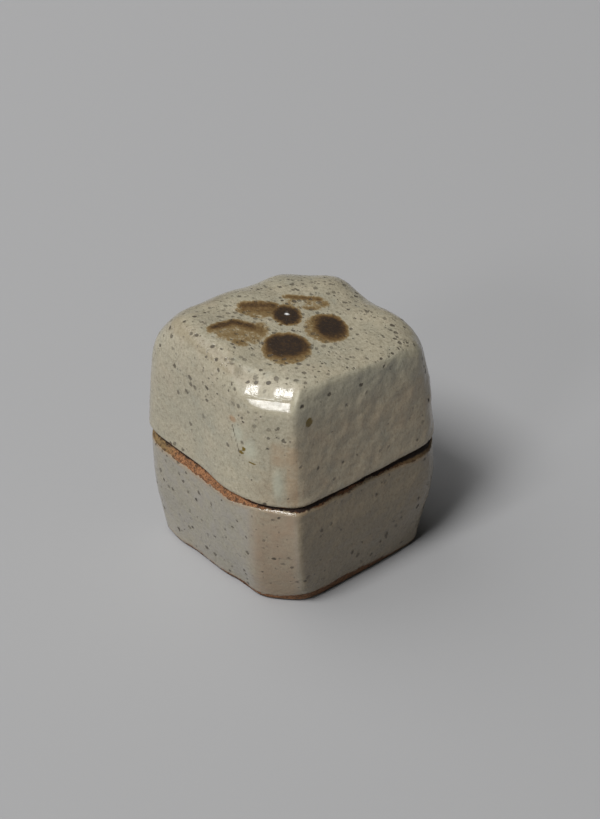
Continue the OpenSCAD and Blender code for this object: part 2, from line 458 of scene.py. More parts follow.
def left_petal(points):
    """A thin wash under a bent brush stroke, with a lobe at its right end and a blot in front."""
    across, towards, inside = petal(points, LEFT_PETAL, 0.16, 66)
    stroke = towards + 0.12 * noise(points, 2.0, 71) - np.interp(across, STROKE_ACROSS, STROKE_TOWARDS)
    arc = 0.76 * hump(stroke, 0.0, np.where(stroke > 0.0, STROKE_LOWER, STROKE_UPPER))
    arc *= smooth(-1.12, -0.85, across) * smooth(0.8, 0.4, across)
    lobe = 0.48 * hump(across, 0.68, 0.24) * hump(towards, -0.35, 0.5)
    blot = 0.42 * hump(across, 0.03, 0.26) * hump(towards, 0.85, 0.24)
    wash = smooth(-0.06, 0.25, inside) * (0.2 + 0.14 * noise(points, 1.3, 67))
    return np.maximum.reduce((arc, lobe, blot, wash))


def back_left_petal(points):
    """A wash that thins towards the front under one straight stroke."""
    across, towards, inside = petal(points, BACK_LEFT_PETAL, 0.16, 65)
    width = np.where(towards > BACK_STROKE, BACK_STROKE_LOWER, BACK_STROKE_UPPER)
    band = 0.7 * hump(towards, BACK_STROKE, width)
    band *= smooth(-1.05, -0.6, across) * smooth(1.15, 0.8, across)
    thickness = 0.2 + 0.3 * smooth(0.8, -0.3, towards) + 0.14 * noise(points, 1.5, 68)
    return np.maximum(band, smooth(-0.08, 0.25, inside) * thickness)


def back_right_petal(points):
    """The palest petal: a line behind, a tip on the right and a streak in front, over a very thin wash."""
    across, towards, inside = petal(points, BACK_RIGHT_PETAL, 0.14, 64)
    line = 0.52 * hump(towards, -0.72, 0.3) * smooth(-1.1, -0.6, across) * smooth(1.0, 0.7, across)
    tip = 0.34 * hump(across, 0.95, 0.22) * hump(towards, -0.25, 0.5)
    streak = 0.42 * hump(across, 0.35, 0.38) * hump(towards, 0.62, 0.25)
    wash = smooth(-0.04, 0.2, inside) * (0.13 + 0.12 * noise(points, 1.5, 69))
    return np.maximum.reduce((line, tip, streak, wash))


PETALS = (front_petal, right_petal, heart, left_petal, back_left_petal, back_right_petal)


def blossom(points):
    """How thick the iron of the painted blossom lies, from 0 for none to 1 for near black."""
    return np.maximum.reduce([paint(points) for paint in PETALS])


def spot(points, centre, radii, edge):
    """A spot with radii along X, Y and Z, its step given from 0 on its edge to 1 in its middle."""
    return smooth(*edge, 1.0 - np.linalg.norm((points - np.array(centre)) / np.array(radii), axis=1))


def near_line(points, start, end, width):
    """1 on the straight line between two places, falling to 0 at a width from it."""
    start, end = np.array(start), np.array(end)
    along = np.clip((points - start) @ (end - start) / np.sum((end - start) ** 2), 0.0, 1.0)
    return smooth(width, 0.0, np.linalg.norm(points - start - along[:, None] * (end - start), axis=1))


# Hand-cut unevenness: direction in degrees and height in mm of its middle, its reach in both and mm outwards,
# and the distances from the axis between which it comes in

BASE_TRIMS = (
    ((44, 5), (24, 6), -0.8), ((47, 24), (15, 4), -0.3), ((5, 20), (16, 5), -0.2),
    ((230, 5), (24, 6), -0.6), ((242, 1), (8, 5), 0.5), ((-68, 1), (9, 6), -0.7), ((-74, 25), (13, 9), 0.6),
)
LID_TRIMS = (
    ((226, 53), (22, 5), -1.4), ((165, 52), (14, 5), -0.6), ((113, 50), (12, 4), 0.75),
    ((86, 50), (9, 5), -0.3), ((64, 49), (10, 4), 0.5), ((48, 43), (12, 4), -0.4),
    ((50, 30), (25, 6), -0.3), ((-74, 26), (13, 8), 0.8), ((-62, 54.5), (20, 3.5), -0.9),
)
TRIM_FADE = (3.0, 16.0)


def trimmed(points, trims):
    """Hand-cut unevenness in mm outwards, none at the axis."""
    angle = np.degrees(np.arctan2(points[:, 1], points[:, 0]))
    total = np.zeros(len(points))
    for (turn, height), (wide, tall), amount in trims:
        aside = (angle - turn + 180.0) % 360.0 - 180.0
        total += amount * hump(aside, 0.0, wide) * hump(points[:, 2], height, tall)
    return total * smooth(*TRIM_FADE, np.hypot(points[:, 0], points[:, 1]))


# The worn upper front corner of the lid, flat below and bent over towards the top: its place, the way it
# faces in degrees round and up, its ends along the edge and the top of its flat, the slant of that top, the
# slope of the crease above it, the radius of the bend, how soft its border is, and how it fades out, in mm

WORN_AT = (16.4, -20.35, 49.2)
WORN_TURN, WORN_TILT = 30.8, 32.0
WORN_FROM, WORN_TO, WORN_TOP = -6.8, 4.6, 0.9
WORN_ROLL = 0.08
WORN_CREASE = 0.12
WORN_BEND = 11.0
WORN_SOFT = 0.2
WORN_FADE = 2.0
WORN_REACH = (8.0, 6.0)

# The bend is dull apart from two stretches: the ends and top of the dull part, its start above the flat, the
# stretches and their upper end, and how blurred and ragged their borders are, in mm

DULL_FROM, DULL_TO, DULL_TOP = (-11.0, -9.0), (8.5, 7.0), (8.0, 6.5)
DULL_ABOVE_FLAT = (0.2, 0.6)
SHINES = ((-5.2, -2.5), (0.8, 5.2))
SHINE_TOP = 3.7
SHINE_BLUR = 0.3
SHINE_RAGGED = ((0.5, 0.8, 81),)

# The glaze lies still where it is worn: how deep and how far above the flat that goes, and how much of the
# glaze's waves is left on the bend

STILL_DEPTH = (-0.1, 0.15)
STILL_TOP = (3.6, 2.2)
BEND_WAVES, BEND_START = 0.45, (0.0, 0.4)


def worn_corner(points):
    """Points of the lid with its corner worn off, where its glaze lies still, and where it is dull."""
    turn, tilt = math.radians(WORN_TURN), math.radians(WORN_TILT)
    level = np.array((math.cos(turn), math.sin(turn), 0.0))
    face = np.array((math.sin(turn) * math.cos(tilt), -math.cos(turn) * math.cos(tilt), math.sin(tilt)))
    offset = points - np.array(WORN_AT)
    along, rise, lift = offset @ level, offset @ np.cross(face, level), offset @ face
    rise = rise - along * WORN_ROLL
    above = np.maximum(0.0, rise - WORN_TOP)
    over = lift + WORN_CREASE * above + above ** 2 / (2.0 * WORN_BEND)
    near = smooth(WORN_FROM - WORN_FADE, WORN_FROM, along) * smooth(WORN_TO + WORN_FADE, WORN_TO, along)
    near = near * smooth(*WORN_REACH, np.abs(rise))
    cut = near * 0.5 * (over + np.sqrt(over ** 2 + WORN_SOFT ** 2))

    ragged = waves(points, SHINE_RAGGED)

    def before(place, end):
        return smooth(SHINE_BLUR, -SHINE_BLUR, place + ragged - end)

    shine = sum(before(along, end) - before(along, start) for start, end in SHINES) * before(rise, SHINE_TOP)
    around = smooth(*DULL_FROM, along) * smooth(*DULL_TO, along) * smooth(*DULL_TOP, rise)
    dull = around * smooth(*DULL_ABOVE_FLAT, rise - WORN_TOP) * (1.0 - shine)
    still = near * smooth(*STILL_DEPTH, over) * smooth(*STILL_TOP, rise - WORN_TOP)
    still = still * (1.0 - BEND_WAVES * smooth(*BEND_START, above))
    return points - face * cut[:, None], still, dull


# Masks that the glaze reads, one value for each point: clay and the painted shade of the gaps in mm inside
# their border, negative outside it, and the others as strengths from 0

MASKS = (
    "clay", "buff_and_warm_shade", "right_shade_and_dark_edge", "gap_shade", "olive", "cool", "still", "dull", "painted_highlight", "pool", "pits", "iron", "flaw",
    "crack",
)
ALL_GLAZE, ALL_CLAY, NO_GAP_SHADE = -3.0, 2.0, -2.0


def make_mesh(name, rings, masks):
    """One closed object from rings that start and end round the axis, with its masks as attributes.

    A mask that isn't given is 0 all over.
    """
    rows, n = rings.shape[:2]
    first, last = rings[0].mean(0), rings[-1].mean(0)
    points = np.concatenate((rings.reshape(-1, 3), [first, last])) * MM
    row, column = np.meshgrid(np.arange(rows - 1), np.arange(n), indexing="ij")
    a = (row * n + column).ravel()
    b = (row * n + (column + 1) % n).ravel()
    quads = np.stack((a, b, b + n, a + n), 1)
    i = np.arange(n)
    j = (i + 1) % n
    start = np.stack((j, i, np.full(n, rows * n)), 1)
    end = np.stack(((rows - 1) * n + i, (rows - 1) * n + j, np.full(n, rows * n + 1)), 1)
    faces = quads.tolist() + start.tolist() + end.tolist()
    mesh = bpy.data.meshes.new(name)
    mesh.from_pydata(points.tolist(), [], faces)
    mesh.polygons.foreach_set("use_smooth", np.ones(len(mesh.polygons), bool))
    for key in MASKS:
        values = masks.get(key, np.zeros(rows * n))
        filled = np.concatenate((values, [values[:n].mean(), values[-n:].mean()]))
        layer = mesh.attributes.new(key, "FLOAT", "POINT")
        layer.data.foreach_set("value", filled.astype(np.float32))
    mesh.update()
    mesh.validate()
    obj = bpy.data.objects.new(name, mesh)
    bpy.context.scene.collection.objects.link(obj)
    return obj


# The base's surface. Waves are given as (amount in mm, size in mm, seed): of the hand-cut clay, of the right
# side, of the borders of clay and of the painted shade in the gaps, and of the bare clay.

BASE_WAVES = ((0.16, 17.0, 3), (0.07, 5.0, 4), (0.035, 1.9, 5))
BASE_RIGHT_WAVES = ((0.12, 3.2, 23), (0.07, 1.5, 24))
CLAY_RAGGED = ((0.35, 2.6, 41), (0.2, 1.0, 42))
GAP_SHADE_RAGGED, LEDGE_SHADE_RAGGED = ((0.25, 1.6, 45),), ((0.4, 1.6, 45),)
CLAY_GRIT = ((0.05, 0.8, 44),)

# Heights in mm over which waves, trims, the step of the glaze and grit come in or fade, above the foot and
# below the parting line, and the thickness of the glaze at its edge

WAVES_ABOVE_FOOT, WAVES_BELOW_SEAM = (0.0, 2.5), (0.2, 2.5)
TRIMS_BELOW_TOP = (26.2, 25.0)
GLAZE_T, GLAZE_EDGE, GLAZE_ABOVE_FOOT = 0.13, (0.1, -0.25), (0.3, 1.2)
GRIT_ABOVE_FOOT = (0.2, 1.0)
WELL_WAVES, WELL_WAVES_OVER = 0.6, 4.0
WELL_CLAY, WELL_RAGGED = 2.2, 0.4

# Where the base is buff, warm with painted shade on the right, olive, cool, and near-black with painted shade
# in
# the gaps: steps in how a point faces or in mm, and strengths

BASE_FACING = (0.5, 0.9)
BASE_CORNER_FACING, BASE_CORNER_HALF, BASE_CORNER_ASIDE = (0.6, 0.8), (6.5, 3.0), 2.0
CORNER_BUFF, RIGHT_SIDE_WARM_SHADE, BORDER_BUFF = 0.9, 0.2, 0.75
CLAY_BORDER = (-1.1, -0.1)
OLIVE_LEFT, OLIVE_BACK = (-8.0, -14.0), (2.0, 14.0)
FOOT_CONTACT_SHADE = 0.4
LEDGE_GAP_SHADE, LEDGE_GAP_SHADE_FROM_RIM, LEDGE_NO_GAP_SHADE = 1.35, (1.9, 4.0), 1.0
BASE_PITS, INSIDE_PITS = 0.3, 0.15


def build_base():
    """The base: its shape with all unevenness, and the masks of its surface."""
    rings, zones = base_rings()
    normals = normals_of(rings).reshape(-1, 3)
    points = rings.reshape(-1, 3)
    zone = np.repeat(zones, RING)
    wall, ledge, well, foot = zone == "wall", zone == "ledge", zone == "well", zone == "foot"
    angle = np.tile(np.arange(RING), len(zones))
    height = points[:, 2]
    to_right = smooth(*BASE_FACING, normals[:, 0])

    ragged = waves(points, CLAY_RAGGED)
    band, foot_band = round_the_box(CLAY_BAND)[angle], round_the_box(FOOT_BAND)[angle]
    clay = np.full(len(points), ALL_GLAZE)
    clay[wall] = (np.maximum(height - (SEAM_H - band), foot_band - height) + ragged)[wall]
    clay[ledge | foot] = ALL_CLAY
    clay[well] = (height - (RIM_TOP - WELL_CLAY) + WELL_RAGGED * ragged)[well]

    fade = smooth(*WAVES_ABOVE_FOOT, height) * smooth(*WAVES_BELOW_SEAM, SEAM_H - height) * wall
    fade = np.where(well, WELL_WAVES * smooth(0.0, WELL_WAVES_OVER, RIM_TOP - height), fade)
    out = fade * waves(points, BASE_WAVES) + to_right * fade * waves(points, BASE_RIGHT_WAVES)
    out += trimmed(points, BASE_TRIMS) * smooth(*TRIMS_BELOW_TOP, height) * wall
    glaze_step = GLAZE_T * smooth(*GLAZE_EDGE, clay) * smooth(*GLAZE_ABOVE_FOOT, height)
    grit = waves(points, CLAY_GRIT) * smooth(*GRIT_ABOVE_FOOT, height)
    out += glaze_step * wall + grit * (wall & (clay > 0))
    points = points + normals * out[:, None]
    points[:, 2] = np.maximum(points[:, 2], 0.0)

    to_corner = (normals[:, 0] - normals[:, 1]) / math.sqrt(2.0)
    beside = np.abs(points[:, 0] + points[:, 1] + BASE_CORNER_ASIDE) / math.sqrt(2.0)
    corner = CORNER_BUFF * smooth(*BASE_CORNER_FACING, to_corner) * smooth(*BASE_CORNER_HALF, beside)
    border = BORDER_BUFF * smooth(*CLAY_BORDER, clay)
    # The right side's share is painted warm shade; the corner and the border by the clay are the glaze's own
    # buff
    buff_and_warm_shade = np.maximum.reduce((corner, RIGHT_SIDE_WARM_SHADE * to_right, border))
    olive = np.maximum(smooth(*OLIVE_LEFT, points[:, 0]), smooth(*OLIVE_BACK, points[:, 1]))

    # Painted shade: near-black clay in the gap under the lid's edge, on the ledge's outer edge and along the
    # foot where it meets the floor
    seam_shade = height - (SEAM_H - round_the_box(GAP_SHADE_BAND, SHORT_JOIN)[angle]) + waves(points, GAP_SHADE_RAGGED)
    out_from_rim = np.hypot(points[:, 0], points[:, 1]) - RIM[angle]
    ledge_shade = LEDGE_GAP_SHADE * smooth(*LEDGE_GAP_SHADE_FROM_RIM, out_from_rim) - LEDGE_NO_GAP_SHADE
    gap_shade = np.where(wall, np.maximum(seam_shade, FOOT_CONTACT_SHADE - height), NO_GAP_SHADE)
    gap_shade = np.where(ledge, ledge_shade + waves(points, LEDGE_SHADE_RAGGED), gap_shade)
    masks = {
        "clay": clay,
        "buff_and_warm_shade": buff_and_warm_shade * wall,
        # Painted shade: the base's right side, turned away from the lamps, is darkened
        "right_shade_and_dark_edge": to_right * wall,
        "gap_shade": gap_shade,
        "olive": olive * wall,
        "cool": smooth(*BASE_FACING, -normals[:, 1]) * wall,
        "pits": np.where(wall, BASE_PITS, INSIDE_PITS),
    }
    return make_mesh("base_body", points.reshape(rings.shape), masks)


# The lid's surface: waves as for the base, and heights in mm over which they come in

LID_WAVES = ((0.16, 17.0, 9), (0.07, 5.0, 10), (0.035, 1.9, 11))
LID_RIGHT_WAVES = ((0.2, 3.6, 21), (0.1, 1.7, 22))
LID_CLAY, LID_CLAY_RAGGED, HOLLOW_GLAZE = 0.35, ((0.3, 2.4, 51),), -1.0
WAVES_ABOVE_SEAM, WAVES_ABOVE_RIM, HOLLOW_WAVES = (0.3, 3.0), (0.5, 4.0), 0.6

# Steps in how a point of the lid faces, the left edge of the crown that is darkened and its strength,
# the height above which the crown is painted, and where and how much its pits fill with iron

LID_TOP_FACING, LID_SIDE_FACING, LID_CORNER_FACING = (0.55, 0.9), (0.4, 0.8), (0.5, 0.8)
EDGE_FACING_LOW, EDGE_FACING_HIGH = (0.2, 0.5), (0.99, 0.93)
EDGE_FRONT, EDGE_LEFT, EDGE_DARKENING = (0.0, -9.6), (14.0, 8.0), 0.6
PAINTED_ABOVE = 45.0
IRON_FILLS, IRON_FILL = (0.3, 0.6), 0.9
SIDE_PITS, FRONT_PITS, FRONT_PITS_OVER = 0.1, 0.55, (33.0, 46.0)

# Marks in the lid's glaze, as places, radii and steps, and how far some stand out or sink in, in mm: a
# raised white dot at the blossom's heart that is a painted highlight, a drip, a blush, a crack between two
# places with its width, pools and spots

HIGHLIGHT_DOT, HIGHLIGHT_DOT_OUT = ((-1.0, -0.9, 53.5), (0.6, 0.6, 3.0), (0.0, 1.0)), 0.12
HIGHLIGHT_WHITE_OVER, HIGHLIGHT_STILL_OVER = (0.05, 0.5), (0.0, 0.2)
DRIP, DRIP_OUT = ((19.6, -20.6, 32.0), (1.6, 1.6, 5.0), (0.0, 0.7)), 0.2
BLUSH, BLUSH_STRENGTH = ((9.0, -23.2, 43.4), (1.3, 1.6, 1.0), (0.0, 0.5)), 1.6
CRACK, CRACK_DEPTH = ((8.8, -23.3, 42.0), (11.4, -23.3, 35.9), 0.4), 0.08
POOLS = ((10.5, -23.2, 40.8), (13.8, -22.9, 38.2))
POOL_RADII, POOL_EDGE = (2.4, 2.0, 3.0), (-0.1, 0.8)
RIGHT_POOL, RIGHT_POOL_OVER = 0.3, (40.0, 49.0)
LID_RIGHT_WARM_SHADE, LID_RIGHT_WARM_SHADE_OVER = 0.5, (52.0, 40.0)
SPOT_EDGE = (0.0, 0.35)
SPOTS = (
    ((21.1, -14.4, 45.3), (2.0, 1.1, 1.4)),
    ((20.9, -16.6, 45.6), (1.0, 0.4, 0.5)),
    ((12.4, -23.2, 38.0), (0.6, 1.0, 0.6)),
    ((11.7, -23.2, 36.9), (0.8, 1.0, 0.5)),
    ((14.6, -22.9, 35.6), (0.9, 1.0, 0.3)),
)

# Buff patches on the lid's front corner: strength, where each starts and ends across the corner, and where it
# starts and ends upwards, in mm

CORNER_PATCHES = (
    (1.0, (0.6, 1.4), (4.0, 3.0), (0.0, 1.0), (42.0, 40.5)),
    (0.7, (-3.0, -1.5), (4.0, 3.0), (35.0, 37.0), (42.5, 40.5)),
    (0.4, (-8.0, -3.0), (4.5, 3.0), (0.0, 1.0), (40.0, 30.0)),
)


def build_lid():
    """The lid: its shape with all unevenness and its worn corner, and the masks of its surface."""
    rings, zones = lid_rings()
    normals = normals_of(rings).reshape(-1, 3)
    points = rings.reshape(-1, 3)
    zone = np.repeat(zones, RING)
    wall, seat, hollow = zone == "wall", zone == "seat", zone == "hollow"
    height = points[:, 2]
    top = smooth(*LID_TOP_FACING, normals[:, 2]) * wall
    front = smooth(*LID_SIDE_FACING, -normals[:, 1]) * wall
    right = smooth(*LID_SIDE_FACING, normals[:, 0]) * wall
    edge = smooth(*EDGE_FACING_LOW, normals[:, 2]) * smooth(*EDGE_FACING_HIGH, normals[:, 2]) * wall
    edge = edge * smooth(*EDGE_FRONT, points[:, 1]) * smooth(*EDGE_LEFT, points[:, 0])

    clay = np.full(len(points), HOLLOW_GLAZE)
    clay[wall] = (SEAM_H + LID_CLAY - height + waves(points, LID_CLAY_RAGGED))[wall]
    clay[seat] = ALL_CLAY
    iron = blossom(points) * (wall & (height > PAINTED_ABOVE))
    unpainted = 1.0 - IRON_FILL * smooth(*IRON_FILLS, iron)
    pits = np.maximum.reduce((SIDE_PITS * wall, top, FRONT_PITS * front * smooth(*FRONT_PITS_OVER, height)))

    fade = smooth(*WAVES_ABOVE_SEAM, height - SEAM_H) * wall
    fade = np.where(hollow, HOLLOW_WAVES * smooth(*WAVES_ABOVE_RIM, height - RIM_TOP), fade)
    painted_highlight, drip, crack = spot(points, *HIGHLIGHT_DOT), spot(points, *DRIP), near_line(points, *CRACK)
    out = fade * waves(points, LID_WAVES) + trimmed(points, LID_TRIMS) * wall
    out += right * fade * waves(points, LID_RIGHT_WAVES)
    out += HIGHLIGHT_DOT_OUT * painted_highlight + DRIP_OUT * drip - CRACK_DEPTH * crack
    points = points + normals * out[:, None]
    worn_points, still, dull = worn_corner(points)
    points = np.where(wall[:, None], worn_points, points)
    still = still * wall

    beside = (points[:, 0] + points[:, 1]) / math.sqrt(2.0)
    to_corner = smooth(*LID_CORNER_FACING, (normals[:, 0] - normals[:, 1]) / math.sqrt(2.0))
    patches = np.maximum.reduce([
        share * smooth(*start, beside) * smooth(*end, beside) * smooth(*low, height) * smooth(*high, height)
        for share, start, end, low, high in CORNER_PATCHES
    ])
    blush = BLUSH_STRENGTH * spot(points, *BLUSH)
    # Painted warm shade on the lid's right face, fading towards the top
    right_warm_shade = LID_RIGHT_WARM_SHADE * right * smooth(*LID_RIGHT_WARM_SHADE_OVER, height)
    right_pool = RIGHT_POOL * right * smooth(*RIGHT_POOL_OVER, height)
    pools = [spot(points, place, POOL_RADII, POOL_EDGE) for place in POOLS]
    spots = [spot(points, place, radii, SPOT_EDGE) for place, radii in SPOTS]
    masks = {
        "clay": clay,
        "buff_and_warm_shade": np.maximum.reduce((to_corner * patches * (1.0 - drip), blush, right_warm_shade)),
        # The crown's front-left edge is darkened
        "right_shade_and_dark_edge": EDGE_DARKENING * edge,
        "gap_shade": np.full(len(points), NO_GAP_SHADE),
        "still": np.maximum(still, smooth(*HIGHLIGHT_STILL_OVER, painted_highlight)),
        "dull": dull * wall,
        # Painted highlight: a white dot at the blossom's heart
        "painted_highlight": smooth(*HIGHLIGHT_WHITE_OVER, painted_highlight),
        "pool": np.maximum.reduce((*pools, drip, right_pool)),
        "pits": np.where(hollow, INSIDE_PITS, pits) * (1.0 - still) * unpainted,
        "iron": iron,
        "flaw": np.maximum.reduce(spots),
        "crack": crack,
    }
    return make_mesh("lid_body", points.reshape(rings.shape), masks)


class Graph:
    """Short hand for making shader nodes."""

    def __init__(self, name):
        self.material = bpy.data.materials.new(name)
        self.material.use_nodes = True
        self.tree = self.material.node_tree
        self.tree.nodes.clear()

    def node(self, kind, inputs=(), **settings):
        made = self.tree.nodes.new(kind)
        for key, value in settings.items():
            setattr(made, key, value)
        for key, value in dict(inputs).items():
            self.put(made.inputs[key], value)
        return made

    def put(self, socket, value):
        if isinstance(value, bpy.types.NodeSocket):
            self.tree.links.new(value, socket)
        elif socket.type == "RGBA":
            socket.default_value = (*value, 1.0)
        else:
            socket.default_value = value

    def math(self, operation, a, b):
        return self.node("ShaderNodeMath", {0: a, 1: b}, operation=operation).outputs[0]

    def scaled(self, value, amount):
        return self.math("MULTIPLY", value, amount)

    def centred(self, value):
        """A noise moved from 0 to 1 to between -0.5 and 0.5."""
        return self.math("SUBTRACT", value, 0.5)

    def fit(self, value, low, high, new_low, new_high, way="LINEAR"):
        """A value between low and high moved to between two new ends, and held there."""
        ends = {"Value": value, "From Min": low, "From Max": high, "To Min": new_low, "To Max": new_high}
        return self.node("ShaderNodeMapRange", ends, interpolation_type=way).outputs["Result"]

    def step(self, value, low, high):
        """The same smooth step as the function makes for points."""
        return self.fit(value, low, high, 0.0, 1.0, "SMOOTHSTEP")

    def mix(self, factor, a, b):
        """Colour a where the factor is 0 and b where it is 1."""
        return self.node("ShaderNodeMix", {"Factor": factor, 6: a, 7: b}, data_type="RGBA").outputs[2]

    def cover(self, colour, mask, strength, shade):
        """A colour with a shade laid over it where a mask says, at a strength."""
        return self.mix(self.scaled(mask, strength), colour, shade)

    def blend(self, factor, a, b):
        """Number a where the factor is 0 and b where it is 1."""
        return self.node("ShaderNodeMix", {"Factor": factor, 2: a, 3: b}, data_type="FLOAT").outputs[0]

    def noise(self, where, scale, detail=2.0, roughness=0.5):
        settings = {"Vector": where, "Scale": scale, "Detail": detail, "Roughness": roughness}
        return self.node("ShaderNodeTexNoise", settings).outputs["Fac"]

    def mask(self, name):
        return self.node("ShaderNodeAttribute", attribute_name=name).outputs["Fac"]

    def finished(self, inputs):
        """The material, with one shader as its surface."""
        shader = self.node("ShaderNodeBsdfPrincipled", inputs)
        self.node("ShaderNodeOutputMaterial", {"Surface": shader.outputs[0]})
        return self.material


# Colours of the glaze, which a piece's depth darkens: two main tones, then layers, each given as the noise
# that places it, a step in that noise, a strength and a colour

GLAZE_WARM, GLAZE_PLAIN, GLAZE_STEP = (0.405, 0.362, 0.262), (0.365, 0.336, 0.25), (0.35, 0.68)
GLAZE_LAYERS = (
    ("patch", (0.52, 0.75), 0.45, (0.43, 0.365, 0.27)),
    ("patch", (0.46, 0.25), 0.4, (0.325, 0.325, 0.262)),
    ("mottle", (0.5, 0.7), 0.62, (0.235, 0.205, 0.142)),
    ("mottle", (0.48, 0.28), 0.5, (0.52, 0.475, 0.36)),
    ("grain", (0.54, 0.72), 0.55, (0.235, 0.2, 0.135)),
    ("grain", (0.46, 0.28), 0.4, (0.52, 0.48, 0.37)),
)
# The buff colour and its strength also serve as painted warm shade on the right sides
GLAZE_COOL, GLAZE_BUFF_AND_WARM_SHADE, GLAZE_POOL = (0.36, 0.335, 0.295), (0.36, 0.245, 0.145), (0.44, 0.44, 0.345)
BUFF_AND_WARM_SHADE, RIGHT_SHADE_AND_DARK_EDGE, POOL = 0.8, 0.42, 0.7

# Noises of the glaze by name: features in each mm, detail and roughness

GLAZE_NOISES = {
    "broad": (0.11, 2.0, 0.5),
    "patch": (0.33, 3.0, 0.6),
    "mottle": (1.4, 3.0, 0.6),
    "grain": (5.0, 2.0, 0.6),
}

# Colours that no depth darkens: painted shade on the base's right and the lid's darker edge, crack, olive
# spots, the white painted highlight and pits, then bare clay with its specks, olive parts, painted shade on
# its right side, and near-black painted shade in the gaps

RIGHT_SHADE_AND_EDGE_BROWN, CRACK_BROWN, SPOT_OLIVE = (0.142, 0.09, 0.042), (0.08, 0.06, 0.036), (0.14, 0.09, 0.003)
HIGHLIGHT_WHITE, PIT_BROWN = (0.82, 0.82, 0.8), (0.055, 0.042, 0.028)
CLAY_DARK, CLAY_ORANGE, CLAY_SPECKS = (0.15, 0.062, 0.023), (0.45, 0.21, 0.09), (0.06, 0.03, 0.013)
CLAY_OLIVE, CLAY_SHADED, GAP_SHADE_BLACK = (0.24, 0.165, 0.065), (0.085, 0.045, 0.02), (0.011, 0.004, 0.002)

# Colour of the iron by how thick it lies, the step over which it covers the glaze, and how much the noise
# speckles it where it is thick enough

IRON_TONES = (
    (0.0, (0.32, 0.245, 0.135)),
    (0.3, (0.205, 0.14, 0.064)),
    (0.55, (0.13, 0.078, 0.033)),
    (0.78, (0.066, 0.041, 0.022)),
    (1.0, (0.036, 0.026, 0.02)),
)
IRON_COVERS = (0.04, 0.2)
IRON_GRAIN, IRON_SPECKLE, IRON_SPECKLED = 0.7, 0.7, 0.3

# Pits as (share of the mask, size of a cell in mm, radius in mm), their blur in mm, the least share of their
# radius and strength, how they are pushed about, and how much they cover

LARGE_PITS, SMALL_PITS, SMALL_PIT_STRENGTH = (0.8, 1.35, 0.6), (0.6, 0.9, 0.3), 0.85
PIT_BLUR_OUT, PIT_BLUR_IN = 0.08, 0.2
PIT_LEAST_RADIUS, PIT_LEAST_STRENGTH = 0.4, 0.45
PIT_PUSH, PIT_PUSH_SCALE = 0.7, 1.1
PIT_COVER = 0.92

# Gloss of the glaze over its mottle, other roughness, and heights of the relief in mm

GLAZE_ROUGH, PIT_ROUGH, CLAY_ROUGH, DULL_ROUGH = (0.08, 0.2), 0.8, 0.85, 0.6
MOTTLE_RELIEF, PATCH_RELIEF, PIT_DEPTH, CLAY_RELIEF, CLAY_SUNK = 0.08, 0.2, 0.14, 0.35, 0.1
STILL_RELIEF = 0.9
GLAZE_IOR = 1.5


def pinholes(g, where, density, size, radius):
    """Dark pits, one in each cell of a size in mm, kept where its own chance is below the density."""
    cells = g.node("ShaderNodeTexVoronoi", {"Vector": where, "Scale": 1.0 / size})
    chance = g.node("ShaderNodeSeparateColor", {"Color": cells.outputs["Color"]})
    reach = g.fit(chance.outputs["Green"], 0.0, 1.0, PIT_LEAST_RADIUS * radius / size, radius / size)
    inside = g.math("SUBTRACT", reach, cells.outputs["Distance"])
    hole = g.step(inside, -PIT_BLUR_OUT / size, PIT_BLUR_IN / size)
    kept = g.math("LESS_THAN", chance.outputs["Red"], density)
    strength = g.fit(chance.outputs["Blue"], 0.0, 1.0, PIT_LEAST_STRENGTH, 1.0)
    return g.scaled(g.scaled(hole, kept), strength)


def all_pits(g, mm):
    """Large and small pits together, pushed out of their regular cells."""
    shift = g.node("ShaderNodeTexNoise", {"Vector": mm, "Scale": PIT_PUSH_SCALE, "Detail": 1.0})
    push = g.node("ShaderNodeVectorMath", {0: shift.outputs["Color"], "Scale": PIT_PUSH}, operation="SCALE")
    pushed = g.node("ShaderNodeVectorMath", {0: mm, 1: push.outputs[0]}, operation="ADD").outputs[0]
    density = g.mask("pits")
    large, small = (
        pinholes(g, pushed, g.scaled(density, share), size, radius)
        for share, size, radius in (LARGE_PITS, SMALL_PITS)
    )
    return g.math("MAXIMUM", large, g.scaled(small, SMALL_PIT_STRENGTH))


def glaze_colour(g, noises, depth):
    """Mottled ash glaze: cool, buff and pale places, painted shade on right sides and a darker lid edge."""

    def tone(colour):
        return tuple(part * depth for part in colour)

    patch = noises["patch"]
    colour = g.mix(g.step(noises["broad"], *GLAZE_STEP), tone(GLAZE_WARM), tone(GLAZE_PLAIN))
    for name, step, strength, shade in GLAZE_LAYERS:
        colour = g.cover(colour, g.step(noises[name], *step), strength, tone(shade))
    colour = g.cover(colour, g.mask("cool"), g.fit(patch, 0.35, 0.65, 0.2, 0.75), tone(GLAZE_COOL))
    buff_and_warm_shade = g.scaled(g.mask("buff_and_warm_shade"), g.fit(patch, 0.3, 0.7, 0.5, 1.0))
    # Buff glaze, with painted warm shade on the right sides
    colour = g.cover(colour, buff_and_warm_shade, BUFF_AND_WARM_SHADE, tone(GLAZE_BUFF_AND_WARM_SHADE))
    # Painted shade on the base's right side, and a darker lid edge
    colour = g.cover(colour, g.mask("right_shade_and_dark_edge"), RIGHT_SHADE_AND_DARK_EDGE, RIGHT_SHADE_AND_EDGE_BROWN)
    return g.cover(colour, g.mask("pool"), POOL, tone(GLAZE_POOL))


